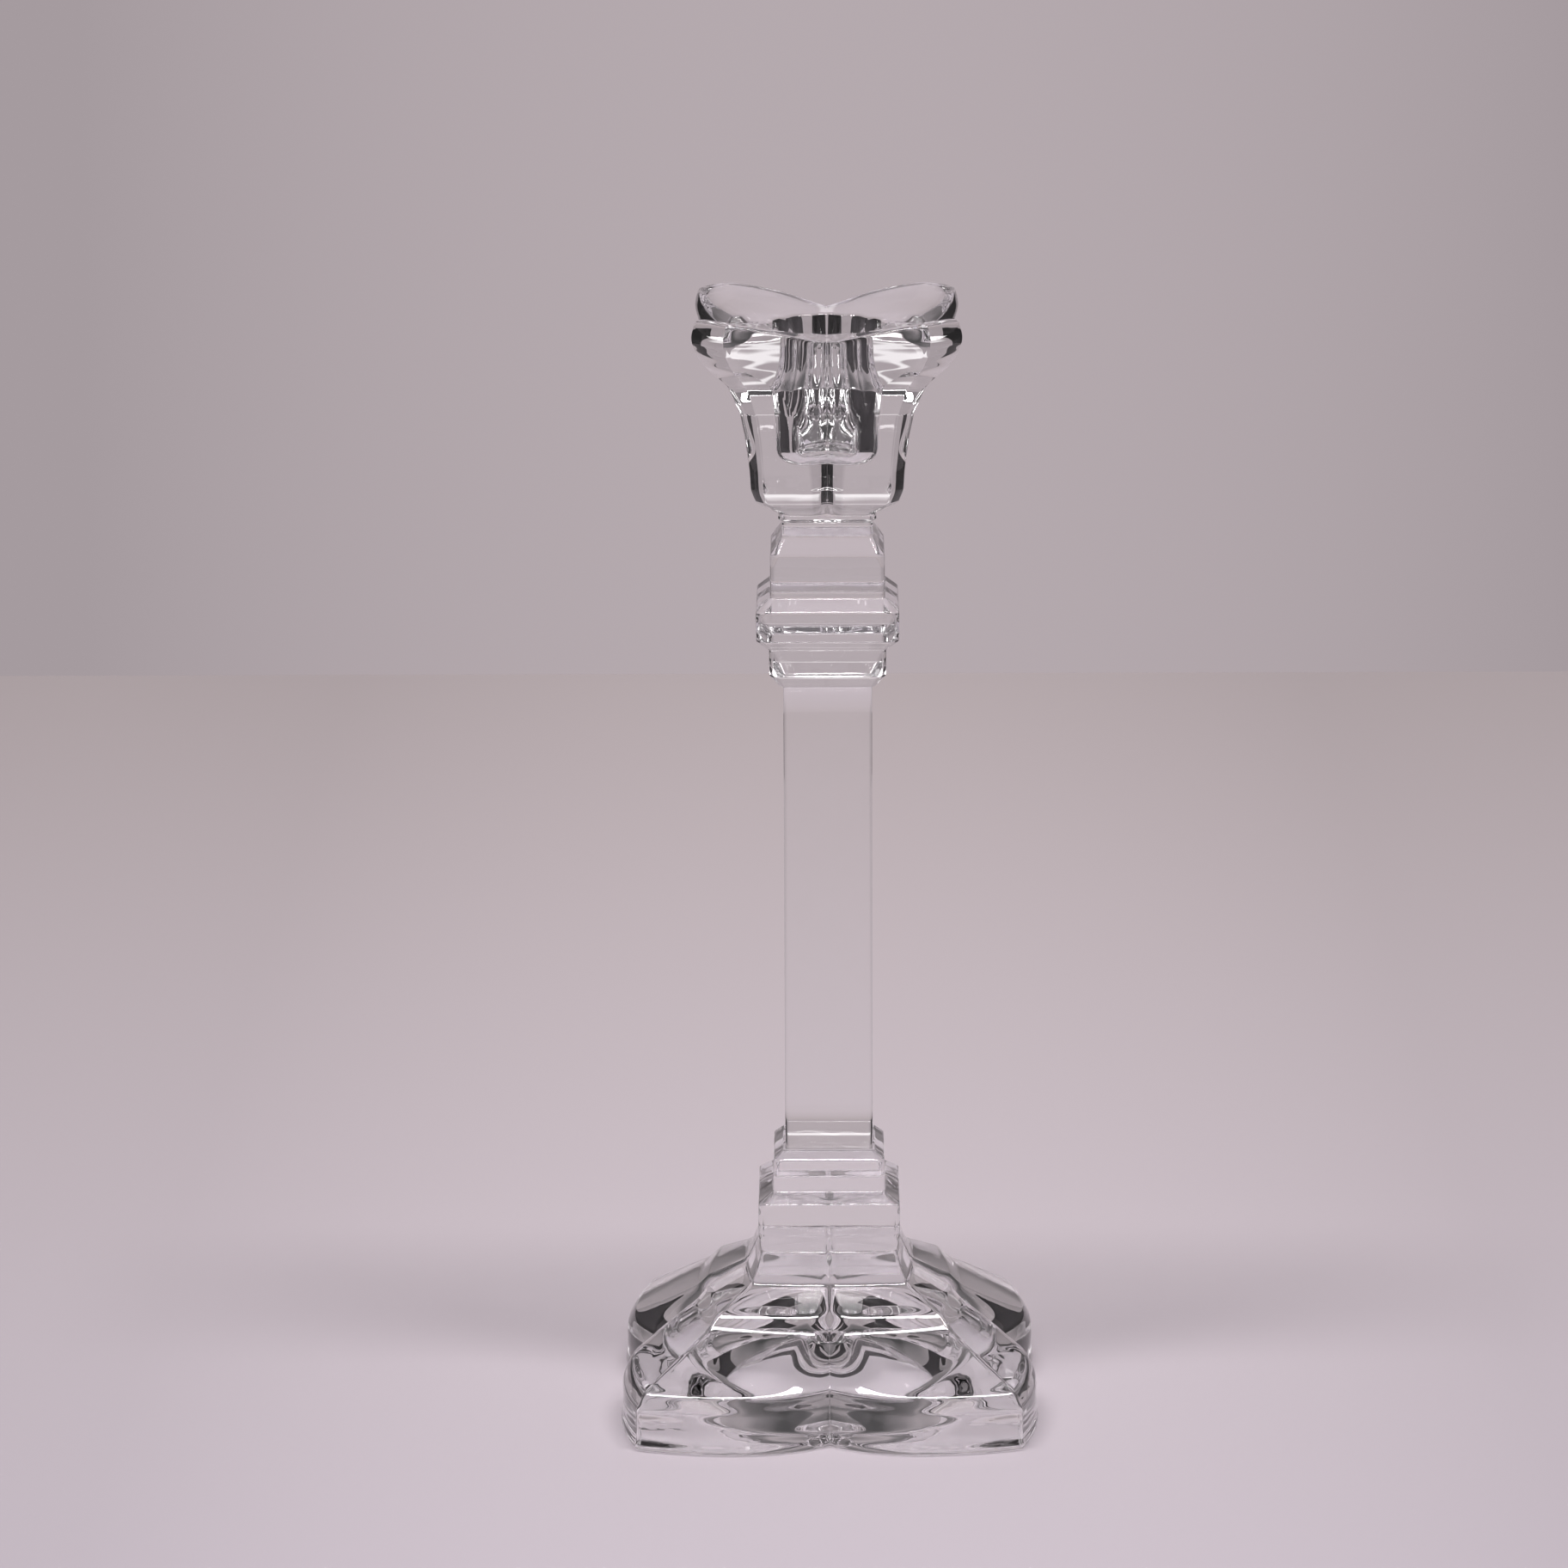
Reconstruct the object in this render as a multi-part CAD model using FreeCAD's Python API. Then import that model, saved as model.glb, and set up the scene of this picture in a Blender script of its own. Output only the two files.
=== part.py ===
"""Pressed-crystal candlestick: a square column between two stepped collars, on a four-lobed foot, under a
flared cup with four petals and a fluted candle socket. Five pressed pieces are bonded with clear films.

Frame: millimetres, +Z up, origin at the centre of the foot's resting face, sides square to X and Y.
Profiles run upward. A collar's rows are (half-width, height, corner radius), and the others' are
(half-width, height).
"""

import FreeCAD, Part
import math
import os

Vector = FreeCAD.Vector

# Heights of the joint planes and of the rim, from the table up
FOOT_TOP = 37.3
COLUMN_BASE = 59.6
COLUMN_TOP = 166.2
CUP_BASE = 205.2
CLEFT_HEIGHT = 246.0
TIP_HEIGHT = 250.7
BOND = 0.1

# Column and collars
COLUMN_HALF = 9.8
COLUMN_CORNER = 0.9
COLLAR_FOOT_HALF = 15.2
COLLAR_NECK_HALF = 10.3
LIP_HALF = 10.8
CORNER = 1.0
BEVEL_CORNER = 2.3
EDGE_BREAK = 0.45

# How far a corner stands out between its two sides: round, or flattened like the cup's
ROUND_CROWN = math.sqrt(0.5)
FLAT_CROWN = 0.58

# Foot
FOOT_HALF = 43.0
FOOT_NECK_HALF = 15.4
FOOT_CORNER = 1.2
LOBE_BULGE = 3.6
LOBE_CREST = 0.46
LOBE_RECESS = 2.6
NECK_CREST = 0.1
HOLLOW_RADIUS = 29.0
HOLLOW_DEPTH = 13.0

# Cup
BODY_HALF = 16.7
BODY_CORNER = 2.6
BODY_CLEFT_HALF = 3.5
BODY_CLEFT_DEPTH = 2.0
RIM_HALF = 29.4
RIM_CORNER = 7.0
RIM_CLEFT_HALF = 22.0
RIM_CLEFT_DEPTH = 5.8
PETAL_RISE_LENGTH = 25.5
DISH_FLOOR_RADIUS = 11.0
DISH_RISE_LENGTH = 16.0

# Candle socket: a plain round seat under tapering flutes
SEAT_RADIUS = 11.25
SEAT_BOTTOM = 216.6
SEAT_ROUND = 3.6
FLUTE_START = 225.0
FLUTES = 12
MOUTH_CREST_RADIUS = 13.0
MOUTH_ARRIS_RADIUS = 12.1


def mix(low, high, part):
    """Straight-line blend from low to high."""
    return low + (high - low) * part


def eased(profile, size):
    """The profile with a small flat cut across each inner corner."""
    rows = [profile[0]]
    for before, corner, after in zip(profile, profile[1:], profile[2:]):
        for other in (before, after):
            reach = math.dist(corner[:2], other[:2])
            part = min(size, reach * 0.4) / reach
            rows.append(tuple(mix(a, b, part) for a, b in zip(corner, other)))
    rows.append(profile[-1])
    return rows


def turned(point, quarter, height):
    """A plan point (along the side, out from the axis), turned by quarter turns about the axis."""
    angle = quarter * math.pi / 2
    x = point[0] * math.cos(angle) + point[1] * math.sin(angle)
    y = -point[0] * math.sin(angle) + point[1] * math.cos(angle)
    return Vector(x, y, height)


def corner_arc(reach, half, quarter, height, crown):
    """Rounded corner from the right end of one side to the left end of the next."""
    diagonal = reach + (half - reach) * crown
    start = turned((reach, half), quarter, height)
    middle = turned((diagonal, diagonal), quarter, height)
    end = turned((-reach, half), quarter + 1, height)
    return Part.Arc(start, middle, end).toShape()


def square_outline(half, height, corner):
    """Closed wire: a square with rounded corners."""
    edges = []
    reach = half - corner
    for quarter in range(4):
        left = turned((-reach, half), quarter, height)
        right = turned((reach, half), quarter, height)
        edges.append(Part.LineSegment(left, right).toShape())
        edges.append(corner_arc(reach, half, quarter, height, ROUND_CROWN))
    return Part.Wire(edges)


def lobed_outline(half, height, corner, crown, bulge, crest, cleft_half, cleft_depth, fullness):
    """Closed wire: a rounded square, each side two lobes that meet in a cleft at its middle.

    A lobe stands out by bulge at the distance crest from the middle, and folds in over cleft_half.
    """
    reach = half - corner

    def bowed(along):
        return half + bulge * (1 - ((along - crest) / (reach - crest)) ** 2)

    shoulder = (cleft_half, bowed(cleft_half))
    cleft = (0.0, half - cleft_depth)
    fold = (cleft_half / 2, mix(cleft[1], shoulder[1], fullness))
    middle = (reach + cleft_half) / 2
    lobe = [(cleft, fold, shoulder), (shoulder, (middle, bowed(middle)), (reach, half))]
    edges = []
    for quarter in range(4):
        for start, through, end in reversed(lobe):
            mirrored = [turned((-along, out), quarter, height) for along, out in (end, through, start)]
            edges.append(Part.Arc(*mirrored).toShape())
        for points in lobe:
            edges.append(Part.Arc(*[turned(point, quarter, height) for point in points]).toShape())
        edges.append(corner_arc(reach, half, quarter, height, crown))
    return Part.Wire(edges)


def stack(wires):
    """Solid with straight walls from each outline to the next."""
    return Part.makeLoft(wires, True, True)


def round_fold(reach, depth):
    """Fullness of the arc that rises by depth over reach and ends level."""
    radius = (reach**2 + depth**2) / (2 * depth)
    return 1 - (radius - math.sqrt(radius**2 - reach**2 / 4)) / depth


def foot_outline(half, height):
    """Outline of the foot: nearly square at the neck, deeply lobed at the table.

    The crest of each lobe is beside the cleft at the neck and moves out along the side lower down.
    """
    spread = max(0.0, (half - FOOT_NECK_HALF) / (FOOT_HALF - FOOT_NECK_HALF))
    bulge = mix(0.1, LOBE_BULGE, math.sqrt(spread))
    recess = mix(0.1, LOBE_RECESS, spread)
    crest = half * mix(NECK_CREST, LOBE_CREST, spread**1.5)
    fullness = round_fold(crest, bulge + recess)
    return lobed_outline(half, height, FOOT_CORNER, ROUND_CROWN, bulge, crest, crest, recess, fullness)


def make_foot():
    """Slab, two sloping panels with steep risers, and a domed hollow underneath."""
    profile = [
        (FOOT_HALF, 0.0),
        (43.5, 0.7),
        (FOOT_HALF, 2.8),
        (FOOT_HALF, 9.3),
        (41.4, 12.6),
        (27.6, 22.7),
        (25.0, 26.0),
        (17.6, 30.4),
        (16.0, 34.8),
        (FOOT_NECK_HALF, FOOT_TOP),
    ]
    body = stack([foot_outline(half, height) for half, height in eased(profile, EDGE_BREAK)])
    dome_radius = (HOLLOW_RADIUS**2 + HOLLOW_DEPTH**2) / (2 * HOLLOW_DEPTH)
    dome = Part.makeSphere(dome_radius, Vector(0, 0, HOLLOW_DEPTH - dome_radius))
    return body.cut(dome)


def make_collar(profile):
    """Stepped square block."""
    return stack([square_outline(*row) for row in eased(profile, EDGE_BREAK)])


def make_lower_collar():
    """Two tiers over a shallow cove, each with a bevelled top."""
    return make_collar([
        (COLLAR_FOOT_HALF, FOOT_TOP + BOND, CORNER),
        (15.9, 41.6, CORNER),
        (15.9, 46.0, CORNER),
        (15.9, 48.4, BEVEL_CORNER),
        (12.5, 50.6, CORNER),
        (12.5, 55.3, CORNER),
        (12.5, 57.7, BEVEL_CORNER),
        (COLLAR_NECK_HALF, COLUMN_BASE - BOND, CORNER),
    ])


def make_column():
    """Plain square shaft with softened corners."""
    ends = (COLUMN_BASE, COLUMN_TOP)
    return stack([square_outline(COLUMN_HALF, height, COLUMN_CORNER) for height in ends])


def make_upper_collar():
    """Three tiers between the column and the lip under the cup."""
    return make_collar([
        (COLLAR_NECK_HALF, COLUMN_TOP + BOND, CORNER),
        (12.9, 169.2, BEVEL_CORNER),
        (12.9, 171.6, CORNER),
        (12.9, 175.3, CORNER),
        (15.75, 177.6, BEVEL_CORNER),
        (15.75, 179.8, CORNER),
        (15.75, 182.1, CORNER),
        (15.75, 184.3, BEVEL_CORNER),
        (12.6, 187.0, CORNER),
        (12.6, 194.0, CORNER),
        (12.6, 196.4, BEVEL_CORNER),
        (10.0, 200.1, CORNER),
        (10.0, 203.4, CORNER),
        (LIP_HALF, 204.2, CORNER),
        (LIP_HALF, CUP_BASE - BOND, CORNER),
    ])


def petal_rise(along):
    """How far a petal's rim has risen from the cleft, from 0 to 1."""
    reach = min(abs(along), PETAL_RISE_LENGTH) / PETAL_RISE_LENGTH
    return math.sin(math.pi / 2 * reach) ** 1.1


def dish_height(x, y):
    """Height of the dished top: level along both cleft lines, lifting to a tip at each corner."""
    spread = (x**4 + y**4) ** 0.25
    reach = min(1.0, max(0.0, (spread - DISH_FLOOR_RADIUS) / DISH_RISE_LENGTH))
    return mix(CLEFT_HEIGHT, TIP_HEIGHT, petal_rise(x) * petal_rise(y) * reach)


def dish_cutter(sign_x, sign_y):
    """Solid above one quarter of the dished top."""
    steps = 14
    size = RIM_HALF + 1.6
    grid = []
    for row in range(steps + 1):
        x = size * row / steps
        sides = [size * column / steps for column in range(steps + 1)]
        grid.append([Vector(sign_x * x, sign_y * y, dish_height(x, y)) for y in sides])
    surface = Part.BSplineSurface()
    surface.interpolate(grid)
    return surface.toShape().extrude(Vector(0, 0, 8))


def cup_outline(half, height):
    """Outline of the cup: grooved square low down, four full petals at the rim."""
    spread = max(0.0, (half - BODY_HALF) / (RIM_HALF - BODY_HALF))
    corner = mix(BODY_CORNER, RIM_CORNER, spread)
    cleft_half = min(mix(BODY_CLEFT_HALF, RIM_CLEFT_HALF, spread), half - corner - 0.3)
    cleft_depth = mix(BODY_CLEFT_DEPTH, RIM_CLEFT_DEPTH, spread)
    return lobed_outline(half, height, corner, FLAT_CROWN, 0.02, 0.0, cleft_half, cleft_depth, 0.75)


def flute_outline(crest, arris, height):
    """Closed wire of arcs, each from rib to rib with the flute's crest between them."""
    edges = []
    pitch = 2 * math.pi / FLUTES
    for index in range(FLUTES):
        points = []
        for part, radius in ((-0.5, arris), (0.0, crest), (0.5, arris)):
            angle = (index + part) * pitch
            points.append(Vector(radius * math.cos(angle), radius * math.sin(angle), height))
        edges.append(Part.Arc(*points).toShape())
    return Part.Wire(edges)


def socket_cutter():
    """Round seat with a softened floor, and the flutes that open out of it."""
    seat = Part.makeCylinder(SEAT_RADIUS, FLUTE_START - SEAT_BOTTOM, Vector(0, 0, SEAT_BOTTOM))
    floor_edges = [edge for edge in seat.Edges if abs(edge.CenterOfMass.z - SEAT_BOTTOM) < 0.01]
    seat = seat.makeFillet(SEAT_ROUND, floor_edges)
    top = TIP_HEIGHT + 2.0
    growth = (top - FLUTE_START) / (CLEFT_HEIGHT - FLUTE_START)
    crest = mix(SEAT_RADIUS, MOUTH_CREST_RADIUS, growth)
    arris = mix(SEAT_RADIUS, MOUTH_ARRIS_RADIUS, growth)
    outlines = [flute_outline(SEAT_RADIUS, SEAT_RADIUS, FLUTE_START), flute_outline(crest, arris, top)]
    return seat.fuse(stack(outlines))


def make_candle_cup():
    """Flared cup: grooved body, petal rim, dished top and candle socket."""
    profile = [
        (LIP_HALF, CUP_BASE),
        (15.6, 208.5),
        (BODY_HALF, 211.4),
        (17.0, 216.2),
        (17.9, 223.3),
        (19.0, 229.0),
        (19.9, 231.2),
        (21.6, 235.2),
        (24.0, 237.6),
        (26.6, 240.3),
        (28.4, 243.2),
        (29.3, 245.8),
        (RIM_HALF, 247.2),
        (28.9, 249.0),
        (27.8, TIP_HEIGHT + 0.6),
    ]
    cup = stack([cup_outline(half, height) for half, height in profile])
    for sign_x in (-1, 1):
        for sign_y in (-1, 1):
            cup = cup.cut(dish_cutter(sign_x, sign_y))
    return cup.cut(socket_cutter())


def make_bond(half, corner, height):
    """Thin film of clear adhesive on a joint plane."""
    return stack([square_outline(half, level, corner) for level in (height, height + BOND)])


def main():
    """Build every piece, report its volume and write it out."""
    pieces = {
        "foot": make_foot(),
        "foot_bond": make_bond(COLLAR_FOOT_HALF, CORNER, FOOT_TOP),
        "lower_collar": make_lower_collar(),
        "column_base_bond": make_bond(COLUMN_HALF, COLUMN_CORNER, COLUMN_BASE - BOND),
        "column": make_column(),
        "column_top_bond": make_bond(COLUMN_HALF, COLUMN_CORNER, COLUMN_TOP),
        "upper_collar": make_upper_collar(),
        "cup_bond": make_bond(LIP_HALF, CORNER, CUP_BASE - BOND),
        "candle_cup": make_candle_cup(),
    }
    os.makedirs("parts", exist_ok=True)
    for name, shape in pieces.items():
        count = len(shape.Solids)
        print(f"{name}: {count} solid, valid {shape.isValid()}, {shape.Volume / 1000:.2f} cm3")
        shape.exportStep(f"parts/{name}.step")


main()
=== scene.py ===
"""Looks of the pressed-crystal candlestick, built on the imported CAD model.

Each glass piece is one closed mesh: a stack of plan outlines that follows the CAD profile, with
fire-polished edges. Where two pieces are bonded the joint face is optically clear, so light
crosses it as it crosses the adhesive. The object's lengths are written in millimetres and turned
into metres when a mesh is made. The studio's lengths are in metres.
"""

import math

import bmesh
import bpy
import numpy as np
from mathutils import Matrix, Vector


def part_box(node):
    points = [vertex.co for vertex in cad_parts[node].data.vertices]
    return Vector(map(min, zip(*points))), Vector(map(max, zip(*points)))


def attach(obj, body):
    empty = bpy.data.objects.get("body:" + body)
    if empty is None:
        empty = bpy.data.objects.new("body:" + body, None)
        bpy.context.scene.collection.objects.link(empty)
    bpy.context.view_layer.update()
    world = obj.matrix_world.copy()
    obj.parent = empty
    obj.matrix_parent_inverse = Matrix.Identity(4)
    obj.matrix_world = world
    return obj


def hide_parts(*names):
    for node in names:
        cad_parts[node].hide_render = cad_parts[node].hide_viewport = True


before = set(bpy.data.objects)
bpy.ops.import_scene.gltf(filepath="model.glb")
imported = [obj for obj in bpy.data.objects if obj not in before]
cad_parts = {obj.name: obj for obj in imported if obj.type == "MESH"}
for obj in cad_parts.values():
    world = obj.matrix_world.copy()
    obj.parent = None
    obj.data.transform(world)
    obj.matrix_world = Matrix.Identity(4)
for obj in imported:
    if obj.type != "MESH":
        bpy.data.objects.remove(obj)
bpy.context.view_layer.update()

MM = 0.001

# Plan outlines: points on each half side's fold, on its lobe, and round each corner
FOLD_POINTS = 30
LOBE_POINTS = 26
CORNER_POINTS = 12
ROUND_CROWN = math.sqrt(0.5)
STRAIGHT = 1e-7

# Column and collars
COLUMN_CORNER = 0.9
COLLAR_FOOT_HALF = 15.2
COLLAR_NECK_HALF = 10.3
LIP_HALF = 10.8
CORNER = 1.0
BEVEL_CORNER = 2.3

# Foot
FOOT_HALF = 43.0
FOOT_NECK_HALF = 15.4
FOOT_CORNER = 1.2
LOBE_BULGE = 3.6
LOBE_CREST = 0.46
LOBE_RECESS = 2.6
NECK_BULGE = 0.1
NECK_RECESS = 0.1
NECK_CREST = 0.1
HOLLOW_RADIUS = 29.0
HOLLOW_DEPTH = 13.0

# Cup
BODY_HALF = 16.7
BODY_CORNER = 2.6
BODY_CLEFT_HALF = 3.5
BODY_CLEFT_DEPTH = 2.0
RIM_HALF = 29.4
RIM_CORNER = 7.0
RIM_CLEFT_HALF = 22.0
RIM_CLEFT_DEPTH = 5.8
CLEFT_DROP = 4.7
CLEFT_FULLNESS = 0.75
CUP_BULGE = 0.02
CUP_CROWN = 0.58
PETAL_RISE_LENGTH = 25.5
DISH_FLOOR_RADIUS = 11.0
DISH_RISE_LENGTH = 16.0
FLARE_HEIGHT = 234.0
FLARE_ROWS = 48

# Candle socket
SEAT_RADIUS = 11.25
SEAT_BOTTOM = 216.6
SEAT_ROUND = 3.6
FLUTE_START = 225.0
FLUTES = 12
MOUTH_CREST_RADIUS = 13.0
MOUTH_ARRIS_RADIUS = 12.1

# Innermost ring of a face that closes on the axis
POLE_RADIUS = 1.0

# Finishes
CRYSTAL_COLOUR = (0.966, 0.97, 0.969, 1)
CRYSTAL_IOR = 1.53
CRYSTAL_SHADOW = (0.34, 0.34, 0.34, 1)
WAVES_PER_METRE = 110
WAVE_DETAIL = 1.5
WAVE_STRENGTH = 0.35
WAVE_HEIGHT = 0.2 * MM
ADHESIVE_COLOUR = (0.9, 0.9, 0.88, 1)
ADHESIVE_ALPHA = 0.01
ADHESIVE_ROUGHNESS = 0.2
BONDS = ("foot_bond", "column_base_bond", "column_top_bond", "cup_bond")

# Table top: it reaches as far to the front as to the sides
TABLE_REACH = 3.0
TABLE_BACK = 0.73
TABLE_LEVEL = -0.3 * MM
TABLE_ROUGHNESS = 0.6

# Its colour runs from near to far, and is darkened from the middle to the sides by a painted pool
# of light
TABLE_NEAR = -0.3
TABLE_NEAR_COLOUR = (0.442, 0.406, 0.45)
TABLE_FAR_COLOUR = (0.478, 0.427, 0.43)
TABLE_PAINTED_POOL_REACH = 0.16
TABLE_PAINTED_POOL_EDGE = 0.89

# It fades into a painted glow in the sweep's colour, at the front over a longer way than at the
# sides
TABLE_FADE_START = 0.35
TABLE_FADE_END = 1.0
TABLE_FRONT_SCALE = -0.6

# Sweep behind and over the table: (upward part of a direction, colour) stops
PALE_SWEEP = (0.46, 0.4, 0.424)
SWEEP_STOPS = ((0.15, PALE_SWEEP), (0.4, (0.21, 0.19, 0.2)), (0.75, (0.06, 0.06, 0.06)))
SWEEP_POOL_REACH = 0.11
SIDE_LIGHT = 0.82

# Over the backward part of a direction, all the stops climb by this
CLIMB_START, CLIMB_END, CLIMB_HEIGHT = 0.1, 0.7, 0.35

# Bright strip along the top of the sweep: (upward part, brightness) stops, and the range of the
# backward part over which it comes in
STRIP_STOPS = ((0.165, 0.0), (0.186, 0.55), (0.21, 0.55), (0.232, 0.0))
STRIP_FADE = (0.93, 0.95)

# Soft box overhead
KEY_PLACE = (0, -0.5, 2.0)
KEY_TILT = 15
KEY_WIDTH = 2.2
KEY_DEPTH = 0.27
KEY_RADIANCE = 34.0
KEY_COLOUR = (1, 0.96, 0.98)

# Black cards: name, and first and last azimuth in degrees, counted from the camera's side to +X
WALLS = (("wall_right", 58, 160), ("wall_left_far", 200, 264), ("wall_left_near", 276, 302))
APRONS = (("apron_right", 58, 135), ("apron_left_far", 228, 264), ("apron_left_near", 276, 302))
CARD_COLOUR = (0.02, 0.02, 0.02, 1)
CARD_POINTS = 24
CARD_GAP = 0.002
WALL_RADIUS = 0.95
WALL_HEIGHT = 0.5
APRON_RADIUS = 0.58

# Camera: lens and sensor in millimetres, angles in degrees
LENS = 153.95
SENSOR = 36
CLIP_START = 0.05
PITCH, YAW, ROLL = 13.86, 0.387, -0.25
CAMERA_PLACE = (0, -1.454, 0.5006)


def mix(low, high, part):
    """Straight-line blend from low to high."""
    return low + (high - low) * part


# --- Plan outlines ----------------------------------------------------------------------------


def arc(start, through, end, parts):
    """Points at the given parts (0 to 1) of the arc that runs from start through a point to end."""
    (ax, ay), (bx, by), (cx, cy) = start, through, end
    det = 2 * (ax * (by - cy) + bx * (cy - ay) + cx * (ay - by))
    if abs(det) < STRAIGHT:
        return [(mix(ax, cx, part), mix(ay, cy, part)) for part in parts]
    a2, b2, c2 = ax * ax + ay * ay, bx * bx + by * by, cx * cx + cy * cy
    ox = (a2 * (by - cy) + b2 * (cy - ay) + c2 * (ay - by)) / det
    oy = (a2 * (cx - bx) + b2 * (ax - cx) + c2 * (bx - ax)) / det
    radius = math.hypot(ax - ox, ay - oy)
    first, middle, last = (math.atan2(y - oy, x - ox) for x, y in (start, through, end))
    sweep = (last - first) % (2 * math.pi)
    if (middle - first) % (2 * math.pi) > sweep:
        sweep -= 2 * math.pi
    return [
        (ox + radius * math.cos(turn), oy + radius * math.sin(turn))
        for turn in (first + sweep * part for part in parts)
    ]


def four_sided(side):
    """The side's points, and its three turned copies, as one closed outline of (x, y) rows."""
    side = np.array(side)
    turns = []
    for quarter in range(4):
        c, s = round(math.cos(quarter * math.pi / 2)), round(math.sin(quarter * math.pi / 2))
        x, y = side[:, 0] * c + side[:, 1] * s, -side[:, 0] * s + side[:, 1] * c
        turns.append(np.stack([x, y], 1))
    return np.vstack(turns)


def lobed_outline(half, corner, bulge, crest, cleft, fullness, crown=ROUND_CROWN):
    """A rounded square, each side two lobes that meet in a cleft at its middle.

    Each lobe stands out by bulge, and most at the distance crest from the middle. cleft is the
    cleft's (half-width, depth), and fullness is how far its wall has risen half-way out. crown
    is how far the corner stands out: 0.5 is a flat facet, and the root of 0.5 a round corner.
    """
    cleft_half, cleft_depth = cleft
    reach = half - corner

    def bowed(along):
        return half + bulge * (1 - ((along - crest) / (reach - crest)) ** 2)

    shoulder = (cleft_half, bowed(cleft_half))
    bottom = (0.0, half - cleft_depth)
    fold = (cleft_half / 2, mix(bottom[1], shoulder[1], fullness))
    middle = (reach + cleft_half) / 2
    fold_parts = np.linspace(0, 1, FOLD_POINTS, endpoint=False) ** 1.5
    lobe_parts = (1 - np.cos(np.linspace(0, math.pi, LOBE_POINTS + 1))) / 2
    right = arc(bottom, fold, shoulder, fold_parts)
    right += arc(shoulder, (middle, bowed(middle)), (reach, half), lobe_parts)
    left = [(-along, out) for along, out in reversed(right[1:])]
    diagonal = reach + corner * crown
    turn_parts = np.linspace(0, 1, CORNER_POINTS + 1)[1:-1]
    turn = arc((reach, half), (diagonal, diagonal), (half, reach), turn_parts)
    return four_sided(left + right + turn)


def square_outline(half, corner):
    """A square with rounded corners, on the same number of points."""
    return lobed_outline(half, corner, 0.0, 0.0, (half * 0.3, 0.0), 1.0)


def round_fold(reach, depth):
    """Fullness of the arc that rises by depth over reach and ends level."""
    radius = (reach**2 + depth**2) / (2 * depth)
    return 1 - (radius - math.sqrt(radius**2 - reach**2 / 4)) / depth


def foot_outline(half):
    """Outline of the foot: nearly square at the neck, deeply lobed at the table."""
    spread = max(0.0, (half - FOOT_NECK_HALF) / (FOOT_HALF - FOOT_NECK_HALF))
    bulge = mix(NECK_BULGE, LOBE_BULGE, math.sqrt(spread))
    recess = mix(NECK_RECESS, LOBE_RECESS, spread)
    crest = half * mix(NECK_CREST, LOBE_CREST, spread**1.5)
    fullness = round_fold(crest, bulge + recess)
    return lobed_outline(half, FOOT_CORNER, bulge, crest, (crest, recess), fullness)


def cup_outline(half):
    """Outline of the cup: grooved square low down, four full petals at the rim."""
    spread = max(0.0, (half - BODY_HALF) / (RIM_HALF - BODY_HALF))
    corner = mix(BODY_CORNER, RIM_CORNER, spread)
    cleft_half = min(mix(BODY_CLEFT_HALF, RIM_CLEFT_HALF, spread), half - corner - 0.3)
    cleft = (cleft_half, mix(BODY_CLEFT_DEPTH, RIM_CLEFT_DEPTH, spread))
    return lobed_outline(half, corner, CUP_BULGE, 0.0, cleft, CLEFT_FULLNESS, CUP_CROWN)


# --- Profiles and rings -----------------------------------------------------------------------


def stations(length, near, growth):
    """Distances along a run, close together at both ends and wider in the middle."""
    distances = [0.0]
    step = near
    while distances[-1] + step < length / 2:
        distances.append(distances[-1] + step)
        step *= growth
    return distances + [length / 2] + [length - distance for distance in reversed(distances[1:])]


def soften(rows, passes):
    """Round a run of points in place, between its two ends."""
    for _ in range(passes):
        rows[1:-1] = (rows[:-2] + 2 * rows[1:-1] + rows[2:]) / 4


def polished(rows, near, passes, growth=1.45):
    """Profile rows (half-width, height, ...), with points gathered at the edges and rounded off."""
    dense = []
    for row, following in zip(rows, rows[1:]):
        length = math.dist(row[:2], following[:2])
        for distance in stations(length, near, growth):
            dense.append([mix(a, b, distance / length) for a, b in zip(row, following)])
    dense.append(list(rows[-1]))
    dense = np.array(dense)
    soften(dense, passes)
    return dense


def ring(outline, height):
    """An outline at a height, or at one height for each point."""
    return np.column_stack([outline, np.broadcast_to(height, len(outline))])


def round_ring(angles, radius, height):
    """Points at the given angles round the axis, at one radius or at one for each."""
    return ring(np.column_stack([radius * np.cos(angles), radius * np.sin(angles)]), height)


def closed_mesh(name, rings, clear_start, clear_end, start, end):
    """Mesh object of stacked rings, closed by a point at each end.

    clear_start and clear_end say which end caps are bonded faces. start and end are the heights of
    the two points.
    """
    count = len(rings[0])
    points = np.vstack([*rings, [[0, 0, start]], [[0, 0, end]]]) * MM
    bottom, top = len(points) - 2, len(points) - 1
    faces = []
    for level in range(len(rings) - 1):
        low, high = level * count, (level + 1) * count
        for index in range(count):
            following = (index + 1) % count
            faces.append((low + index, high + index, high + following, low + following))
    sides = len(faces)
    last = (len(rings) - 1) * count
    for index in range(count):
        following = (index + 1) % count
        faces.append((bottom, index, following))
        faces.append((top, last + following, last + index))
    mesh = bpy.data.meshes.new(name)
    mesh.from_pydata(points.tolist(), [], faces)
    for polygon in mesh.polygons:
        on_cap = polygon.index >= sides
        clear = on_cap and (clear_start if (polygon.index - sides) % 2 == 0 else clear_end)
        polygon.material_index = 1 if clear else 0
        polygon.use_smooth = not clear
    shell = bmesh.new()
    shell.from_mesh(mesh)
    bmesh.ops.recalc_face_normals(shell, faces=shell.faces)
    shell.to_mesh(mesh)
    shell.free()
    glass = bpy.data.objects.new(name, mesh)
    bpy.context.scene.collection.objects.link(glass)
    return glass


# --- Glass pieces -----------------------------------------------------------------------------


def heights(node):
    """Lowest and highest point of a CAD node, in millimetres."""
    low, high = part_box(node)
    return low.z / MM, high.z / MM


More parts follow.
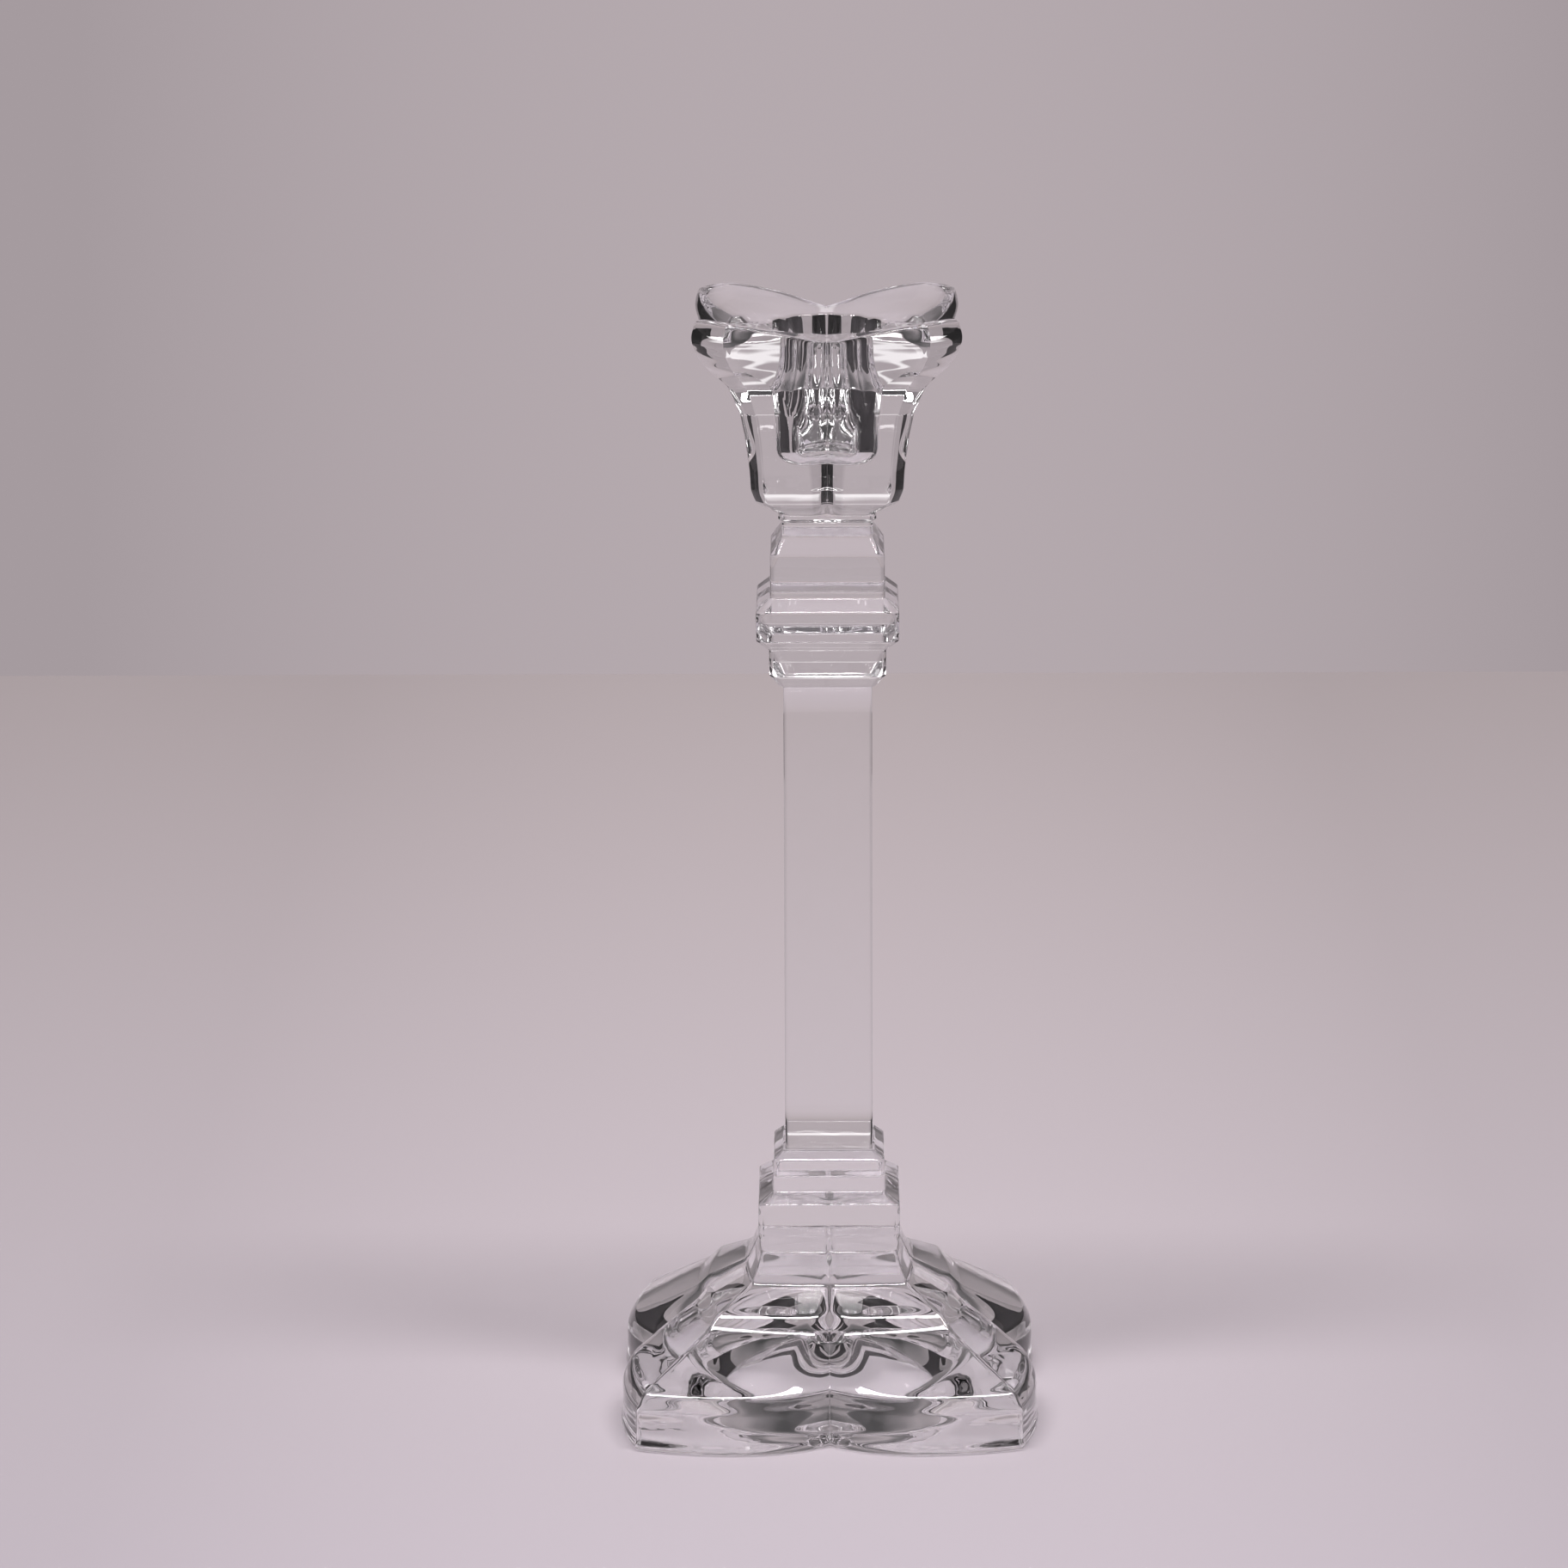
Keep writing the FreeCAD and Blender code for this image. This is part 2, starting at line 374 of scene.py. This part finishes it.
def make_foot():
    """Bonded top, sloping panels with steep risers, slab, and the domed hollow underneath."""
    low, top = heights("foot")
    rows = [
        (COLLAR_FOOT_HALF, top),
        (FOOT_NECK_HALF, top),
        (16.0, 34.8),
        (17.6, 30.4),
        (25.0, 26.0),
        (27.6, 22.7),
        (41.4, 12.6),
        (FOOT_HALF, 9.3),
        (FOOT_HALF, 2.8),
        (43.5, 0.7),
        (FOOT_HALF, low),
    ]
    dense = polished(rows, near=0.3, passes=8, growth=1.08)
    rings = [ring(foot_outline(half), height) for half, height in dense]
    rings[0] = ring(square_outline(COLLAR_FOOT_HALF, CORNER), top)
    edge = rings[-1]
    angles = np.arctan2(edge[:, 1], edge[:, 0])
    hollow_edge = round_ring(angles, HOLLOW_RADIUS, low)
    dome_radius = (HOLLOW_RADIUS**2 + HOLLOW_DEPTH**2) / (2 * HOLLOW_DEPTH)
    resting_parts = stations(1.0, near=0.01, growth=1.8)[1:]
    under = [mix(edge, hollow_edge, part) for part in resting_parts]
    for inward in stations(HOLLOW_RADIUS - POLE_RADIUS, near=0.2, growth=1.3)[1:]:
        radius = HOLLOW_RADIUS - inward
        rise = math.sqrt(dome_radius**2 - radius**2) - (dome_radius - HOLLOW_DEPTH)
        under.append(round_ring(angles, radius, low + rise))
    grid = np.array([edge, *under])
    soften(grid, passes=6)
    grid[:, :, 2] = np.maximum(grid[:, :, 2], low)
    rings += list(grid[1:])
    return closed_mesh("foot_glass", rings, True, False, top, low + HOLLOW_DEPTH)


def make_collar(name, rows, near=0.1, passes=6):
    """Stepped square block with polished edges, bonded at both ends, from rows going up."""
    dense = polished(rows, near, passes)
    rings = [ring(square_outline(half, corner), height) for half, height, corner in dense]
    return closed_mesh(name, rings[::-1], True, True, rows[-1][1], rows[0][1])


def make_lower_collar():
    """Two tiers over a shallow cove, each with a bevelled top."""
    low, top = heights("lower_collar")
    column_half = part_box("column")[1].x / MM
    return make_collar("lower_collar_glass", [
        (COLLAR_FOOT_HALF, low, CORNER),
        (15.9, 41.6, CORNER),
        (15.9, 46.0, CORNER),
        (15.9, 48.4, BEVEL_CORNER),
        (12.5, 50.6, CORNER),
        (12.5, 55.3, CORNER),
        (12.5, 57.7, BEVEL_CORNER),
        (COLLAR_NECK_HALF, top, CORNER),
        (column_half, top, COLUMN_CORNER),
    ])


def make_column():
    """Plain square shaft."""
    low, top = heights("column")
    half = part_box("column")[1].x / MM
    rows = [(half, low, COLUMN_CORNER), (half, top, COLUMN_CORNER)]
    return make_collar("column_glass", rows, near=4.0)


def make_upper_collar():
    """Three tiers between the column and the lip under the cup."""
    low, top = heights("upper_collar")
    column_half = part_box("column")[1].x / MM
    return make_collar("upper_collar_glass", [
        (column_half, low, COLUMN_CORNER),
        (COLLAR_NECK_HALF, low, CORNER),
        (12.9, 169.2, BEVEL_CORNER),
        (12.9, 171.6, CORNER),
        (12.9, 175.3, CORNER),
        (15.75, 177.6, BEVEL_CORNER),
        (15.75, 179.8, CORNER),
        (15.75, 182.1, CORNER),
        (15.75, 184.3, BEVEL_CORNER),
        (12.6, 187.0, CORNER),
        (12.6, 194.0, CORNER),
        (12.6, 196.4, BEVEL_CORNER),
        (10.0, 200.1, CORNER),
        (10.0, 203.4, CORNER),
        (LIP_HALF, 204.2, CORNER),
        (LIP_HALF, top, CORNER),
    ])


def petal_rise(along):
    """How far a petal's rim has risen from the cleft, from 0 to 1."""
    reach = np.minimum(np.abs(along), PETAL_RISE_LENGTH) / PETAL_RISE_LENGTH
    return np.sin(math.pi / 2 * reach) ** 1.1


def dish_height(x, y, tip):
    """Height of the dished top: level along both cleft lines, lifting to a tip at each corner."""
    spread = (x**4 + y**4) ** 0.25
    reach = np.clip((spread - DISH_FLOOR_RADIUS) / DISH_RISE_LENGTH, 0, 1)
    return tip - CLEFT_DROP + CLEFT_DROP * petal_rise(x) * petal_rise(y) * reach


def cup_wall(rows, tip):
    """Rings up the outer wall, each point's column ending where it meets the dished top."""
    dense = polished(rows, near=0.18, passes=6)
    table = np.array([ring(cup_outline(half), height) for half, height in dense])
    over = table[:, :, 2] - dish_height(table[:, :, 0], table[:, :, 1], tip)
    steps = np.linalg.norm(np.diff(dense, axis=0), axis=1)
    lengths = np.concatenate([[0], np.cumsum(steps)])
    flare = np.interp(FLARE_HEIGHT, dense[:, 1], lengths)
    body = lengths[lengths < flare]
    spread = np.linspace(0, 1, FLARE_ROWS)
    wall = np.empty((len(body) + FLARE_ROWS, table.shape[1], 3))
    for index in range(table.shape[1]):
        first = int(np.argmax(over[:, index] > 0))
        before, after = over[first - 1, index], over[first, index]
        end = mix(lengths[first - 1], lengths[first], before / (before - after))
        stops = np.concatenate([body, mix(flare, end, spread)])
        for axis in range(3):
            wall[:, index, axis] = np.interp(stops, lengths, table[:, index, axis])
    return wall, len(body)


def fluted_ring(angles, crest, arris, height):
    """Ring of scallops: farthest out at each crest, sharpest at each rib between them."""
    pitch = 2 * math.pi / FLUTES
    turn = np.abs((angles / pitch + 0.5) % 1 - 0.5) * 2
    return round_ring(angles, mix(crest, arris, turn**2), height)


def make_candle_cup():
    """Flared cup: grooved body, petal rim, dished top and fluted candle socket."""
    low, tip = heights("candle_cup")
    rows = [
        (LIP_HALF, low),
        (15.6, 208.5),
        (BODY_HALF, 211.4),
        (17.0, 216.2),
        (17.9, 223.3),
        (19.0, 229.0),
        (19.9, 231.2),
        (21.6, 235.2),
        (24.0, 237.6),
        (26.6, 240.3),
        (28.4, 243.2),
        (29.3, 245.8),
        (RIM_HALF, 247.2),
        (28.9, 249.0),
        (27.8, tip + 0.8),
    ]
    wall, body_rows = cup_wall(rows, tip)
    rim = wall[-1]
    angles = np.arctan2(rim[:, 1], rim[:, 0])
    mouth = fluted_ring(angles, MOUTH_CREST_RADIUS, MOUTH_ARRIS_RADIUS, 0)
    rings = list(wall)
    for part in stations(1.0, near=0.02, growth=1.35)[1:]:
        place = mix(rim, mouth, part)
        rings.append(ring(place[:, :2], dish_height(place[:, 0], place[:, 1], tip)))
    mouth_height = tip - CLEFT_DROP
    for drop in stations(mouth_height - FLUTE_START, near=0.25, growth=1.3)[1:]:
        part = 1 - drop / (mouth_height - FLUTE_START)
        crest = mix(SEAT_RADIUS, MOUTH_CREST_RADIUS, part)
        arris = mix(SEAT_RADIUS, MOUTH_ARRIS_RADIUS, part)
        rings.append(fluted_ring(angles, crest, arris, mouth_height - drop))
    for height in np.linspace(FLUTE_START, SEAT_BOTTOM + SEAT_ROUND, 8)[1:]:
        rings.append(round_ring(angles, SEAT_RADIUS, height))
    for turn in np.linspace(0, math.pi / 2, 12)[1:]:
        radius = SEAT_RADIUS - SEAT_ROUND * (1 - math.cos(turn))
        height = SEAT_BOTTOM + SEAT_ROUND * (1 - math.sin(turn))
        rings.append(round_ring(angles, radius, height))
    for radius in np.linspace(SEAT_RADIUS - SEAT_ROUND, POLE_RADIUS, 8)[1:]:
        rings.append(round_ring(angles, radius, SEAT_BOTTOM))
    grid = np.array(rings)
    soften(grid[body_rows:], passes=3)
    for _ in range(2):
        grid[1:] = (np.roll(grid, 1, 1) + 2 * grid + np.roll(grid, -1, 1))[1:] / 4
    return closed_mesh("candle_cup_glass", list(grid), True, False, low, SEAT_BOTTOM)


# --- Materials --------------------------------------------------------------------------------


def new_material(name):
    """Material with an empty node tree and its output."""
    material = bpy.data.materials.new(name)
    material.use_nodes = True
    tree = material.node_tree
    tree.nodes.clear()
    return material, tree, tree.nodes.new("ShaderNodeOutputMaterial")


def add_node(tree, kind, values=None, **settings):
    """New node with the given settings and the given values on its own sockets."""
    node = tree.nodes.new("ShaderNode" + kind)
    for name, value in settings.items():
        setattr(node, name, value)
    for name, value in (values or {}).items():
        node.inputs[name].default_value = value
    return node


def add_ramp(tree, stops):
    """New colour ramp through the given (position, colour) stops, which rise in position."""
    ramp = add_node(tree, "ValToRGB")
    elements = ramp.color_ramp.elements
    for element, (position, colour) in zip(elements, (stops[0], stops[-1])):
        element.position = position
        element.color = (*colour, 1)
    for position, colour in stops[1:-1]:
        elements.new(position).color = (*colour, 1)
    return ramp


def crystal_material():
    """Clear lead crystal with the faint waviness of pressed, fire-polished glass.

    Its shadow lets some light through, as the light that it bends still reaches the table.
    """
    material, tree, output = new_material("crystal")
    shader = add_node(tree, "BsdfPrincipled", {
        "Base Color": CRYSTAL_COLOUR,
        "Roughness": 0.0,
        "IOR": CRYSTAL_IOR,
        "Transmission Weight": 1.0,
    })
    place = add_node(tree, "TexCoord")
    waves = add_node(tree, "TexNoise", {"Scale": WAVES_PER_METRE, "Detail": WAVE_DETAIL})
    bump = add_node(tree, "Bump", {"Strength": WAVE_STRENGTH, "Distance": WAVE_HEIGHT})
    clear = add_node(tree, "BsdfTransparent", {"Color": CRYSTAL_SHADOW})
    path = add_node(tree, "LightPath")
    cast = add_node(tree, "MixShader")
    link = tree.links.new
    link(place.outputs["Object"], waves.inputs["Vector"])
    link(waves.outputs["Fac"], bump.inputs["Height"])
    link(bump.outputs["Normal"], shader.inputs["Normal"])
    link(path.outputs["Is Shadow Ray"], cast.inputs[0])
    link(shader.outputs["BSDF"], cast.inputs[1])
    link(clear.outputs["BSDF"], cast.inputs[2])
    link(cast.outputs["Shader"], output.inputs["Surface"])
    return material


def clear_face_material():
    """Joint face that light crosses unbent, since the adhesive matches the glass."""
    material, tree, output = new_material("bonded_face")
    shader = add_node(tree, "BsdfTransparent")
    tree.links.new(shader.outputs["BSDF"], output.inputs["Surface"])
    return material


def adhesive_material():
    """Water-clear film, seen only as the slightest tint."""
    material, tree, output = new_material("clear_adhesive")
    shader = add_node(tree, "BsdfPrincipled", {
        "Base Color": ADHESIVE_COLOUR,
        "Roughness": ADHESIVE_ROUGHNESS,
        "Alpha": ADHESIVE_ALPHA,
    })
    tree.links.new(shader.outputs["BSDF"], output.inputs["Surface"])
    return material


# --- Studio -----------------------------------------------------------------------------------


def pool_of_light(tree, across, colour, reach, edge):
    """Colour dimmed from the middle outwards, to the given part of itself at the given reach. On
    the table's colour this is a painted pool of light.
    """
    square = add_node(tree, "Math", operation="MULTIPLY")
    fall = add_node(tree, "MapRange", {"From Max": reach**2, "To Min": 1.0, "To Max": edge})
    dimmed = add_node(tree, "VectorMath", operation="SCALE")
    link = tree.links.new
    link(across, square.inputs[0])
    link(across, square.inputs[1])
    link(square.outputs["Value"], fall.inputs["Value"])
    link(colour, dimmed.inputs[0])
    link(fall.outputs["Result"], dimmed.inputs["Scale"])
    return dimmed.outputs["Vector"]


def table_material():
    """Pale table top, a little bluer towards the camera, with a painted pool of light that darkens
    it towards the sides.

    It runs out into a painted glow in the sweep's colour at the sides and at the camera's side.
    """
    material, tree, output = new_material("floor")
    shader = add_node(tree, "BsdfPrincipled", {"Roughness": TABLE_ROUGHNESS})
    place = add_node(tree, "TexCoord")
    split = add_node(tree, "SeparateXYZ")
    depth = add_node(tree, "MapRange", {"From Min": TABLE_NEAR, "From Max": TABLE_BACK})
    ramp = add_ramp(tree, ((0, TABLE_NEAR_COLOUR), (1, TABLE_FAR_COLOUR)))
    aside = add_node(tree, "Math", operation="ABSOLUTE")
    ahead = add_node(tree, "Math", {1: TABLE_FRONT_SCALE}, operation="MULTIPLY")
    farther = add_node(tree, "Math", operation="MAXIMUM")
    limits = {"From Min": TABLE_FADE_START, "From Max": TABLE_FADE_END}
    fade = add_node(tree, "MapRange", limits, interpolation_type="SMOOTHSTEP")
    # Painted glow in the sweep's colour, given off by the table where it runs out, though it is no
    # lamp
    sweep = add_node(tree, "Emission", {"Color": (*PALE_SWEEP, 1), "Strength": SIDE_LIGHT})
    blend = add_node(tree, "MixShader")
    link = tree.links.new
    link(place.outputs["Object"], split.inputs["Vector"])
    across, along = split.outputs["X"], split.outputs["Y"]
    link(along, depth.inputs["Value"])
    link(depth.outputs["Result"], ramp.inputs["Fac"])
    # Painted pool of light: the table's colour is darkened towards the sides
    lit = pool_of_light(tree, across, ramp.outputs["Color"], TABLE_PAINTED_POOL_REACH, TABLE_PAINTED_POOL_EDGE)
    link(lit, shader.inputs["Base Color"])
    link(across, aside.inputs[0])
    link(along, ahead.inputs[0])
    link(aside.outputs["Value"], farther.inputs[0])
    link(ahead.outputs["Value"], farther.inputs[1])
    link(farther.outputs["Value"], fade.inputs["Value"])
    link(fade.outputs["Result"], blend.inputs[0])
    link(shader.outputs["BSDF"], blend.inputs[1])
    link(sweep.outputs["Emission"], blend.inputs[2])
    link(blend.outputs["Shader"], output.inputs["Surface"])
    return material


def make_floor():
    """Wide flat table top under the object."""
    mesh = bpy.data.meshes.new("floor")
    corners = [
        (-TABLE_REACH, -TABLE_REACH, TABLE_LEVEL),
        (TABLE_REACH, -TABLE_REACH, TABLE_LEVEL),
        (TABLE_REACH, TABLE_BACK, TABLE_LEVEL),
        (-TABLE_REACH, TABLE_BACK, TABLE_LEVEL),
    ]
    mesh.from_pydata(corners, [], [(0, 1, 2, 3)])
    floor = bpy.data.objects.new("floor", mesh)
    bpy.context.scene.collection.objects.link(floor)
    mesh.materials.append(table_material())


def make_key():
    """Soft box overhead, a rectangular area light."""
    data = bpy.data.lights.new("key", "AREA")
    data.shape = "RECTANGLE"
    data.size = KEY_WIDTH
    data.size_y = KEY_DEPTH
    data.energy = KEY_RADIANCE * math.pi * KEY_WIDTH * KEY_DEPTH
    data.color = KEY_COLOUR
    light = bpy.data.objects.new("key", data)
    light.location = KEY_PLACE
    light.rotation_euler = (math.radians(KEY_TILT), 0, 0)
    bpy.context.scene.collection.objects.link(light)


def make_card(name, first, last, near_edge, far_edge):
    """Black card round part of the set, from the first azimuth to the last, that only glass sees.

    Each edge is given as (distance from the axis, height).
    """
    azimuths = np.radians(np.linspace(first, last, CARD_POINTS))
    points = [
        (radius * math.sin(azimuth), -radius * math.cos(azimuth), height)
        for radius, height in (near_edge, far_edge)
        for azimuth in azimuths
    ]
    faces = [
        (index, index + 1, CARD_POINTS + index + 1, CARD_POINTS + index)
        for index in range(CARD_POINTS - 1)
    ]
    mesh = bpy.data.meshes.new(name)
    mesh.from_pydata(points, [], faces)
    card = bpy.data.objects.new(name, mesh)
    bpy.context.scene.collection.objects.link(card)
    material, tree, output = new_material(name)
    shader = add_node(tree, "BsdfDiffuse", {"Color": CARD_COLOUR})
    tree.links.new(shader.outputs["BSDF"], output.inputs["Surface"])
    mesh.materials.append(material)
    card.visible_camera = False
    card.visible_diffuse = False
    card.visible_shadow = False


def make_world():
    """Pale sweep that dims with height, with a bright strip along its top behind the object."""
    world = bpy.data.worlds.new("studio")
    world.use_nodes = True
    tree = world.node_tree
    background = tree.nodes["Background"]
    direction = add_node(tree, "TexCoord")
    split = add_node(tree, "SeparateXYZ")
    sweep = add_ramp(tree, SWEEP_STOPS)
    limits = {"From Min": CLIMB_START, "From Max": CLIMB_END, "To Max": CLIMB_HEIGHT}
    climb = add_node(tree, "MapRange", limits, interpolation_type="SMOOTHSTEP")
    over = add_node(tree, "Math", operation="SUBTRACT")
    strip = add_ramp(tree, [(position, (level,) * 3) for position, level in STRIP_STOPS])
    behind = add_node(tree, "MapRange", {"From Min": STRIP_FADE[0], "From Max": STRIP_FADE[1]})
    glow = add_node(tree, "Mix", data_type="RGBA", blend_type="ADD")
    link = tree.links.new
    link(direction.outputs["Generated"], split.inputs["Vector"])
    across, backward, upward = (split.outputs[axis] for axis in "XYZ")
    link(backward, climb.inputs["Value"])
    link(upward, over.inputs[0])
    link(climb.outputs["Result"], over.inputs[1])
    link(over.outputs["Value"], sweep.inputs["Fac"])
    link(upward, strip.inputs["Fac"])
    link(backward, behind.inputs["Value"])
    link(behind.outputs["Result"], glow.inputs["Factor"])
    lit = pool_of_light(tree, across, sweep.outputs["Color"], SWEEP_POOL_REACH, SIDE_LIGHT)
    link(lit, glow.inputs["A"])
    link(strip.outputs["Color"], glow.inputs["B"])
    link(glow.outputs["Result"], background.inputs["Color"])
    bpy.context.scene.world = world


def make_camera():
    """Camera in front of the object, looking a little down."""
    data = bpy.data.cameras.new("camera")
    data.lens = LENS
    data.sensor_width = SENSOR
    data.clip_start = CLIP_START
    camera = bpy.data.objects.new("camera", data)
    pitch, yaw, roll = (math.radians(angle) for angle in (PITCH, YAW, ROLL))
    forward = np.array([
        -math.sin(yaw) * math.cos(pitch),
        math.cos(yaw) * math.cos(pitch),
        -math.sin(pitch),
    ])
    level = np.cross(forward, [0, 0, 1])
    level /= np.linalg.norm(level)
    up = np.cross(level, forward)
    right = level * math.cos(roll) + up * math.sin(roll)
    up = up * math.cos(roll) - level * math.sin(roll)
    place = Matrix.Identity(4)
    for column, axis in enumerate((right, up, -forward, CAMERA_PLACE)):
        for row in range(3):
            place[row][column] = axis[row]
    camera.matrix_world = place
    bpy.context.scene.collection.objects.link(camera)
    bpy.context.scene.camera = camera


def set_light_paths():
    """Enough bounces for light to get through all the glass, and plain tones."""
    cycles = bpy.context.scene.cycles
    cycles.max_bounces = 32
    cycles.transmission_bounces = 28
    cycles.glossy_bounces = 8
    cycles.transparent_max_bounces = 64
    bpy.context.scene.view_settings.view_transform = "Standard"


def main():
    """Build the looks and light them."""
    crystal, clear_face, adhesive = crystal_material(), clear_face_material(), adhesive_material()
    pieces = {
        "foot": make_foot(),
        "lower_collar": make_lower_collar(),
        "column": make_column(),
        "upper_collar": make_upper_collar(),
        "candle_cup": make_candle_cup(),
    }
    for node, glass in pieces.items():
        glass.data.materials.append(crystal)
        glass.data.materials.append(clear_face)
        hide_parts(node)
        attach(glass, "root")
    for node in BONDS:
        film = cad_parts[node]
        film.data.materials.clear()
        film.data.materials.append(adhesive)
    make_floor()
    make_key()
    for name, first, last in WALLS:
        make_card(name, first, last, (WALL_RADIUS, CARD_GAP), (WALL_RADIUS, WALL_HEIGHT))
    for name, first, last in APRONS:
        make_card(name, first, last, (APRON_RADIUS, CARD_GAP), (WALL_RADIUS, CARD_GAP))
    make_world()
    make_camera()
    set_light_paths()


main()
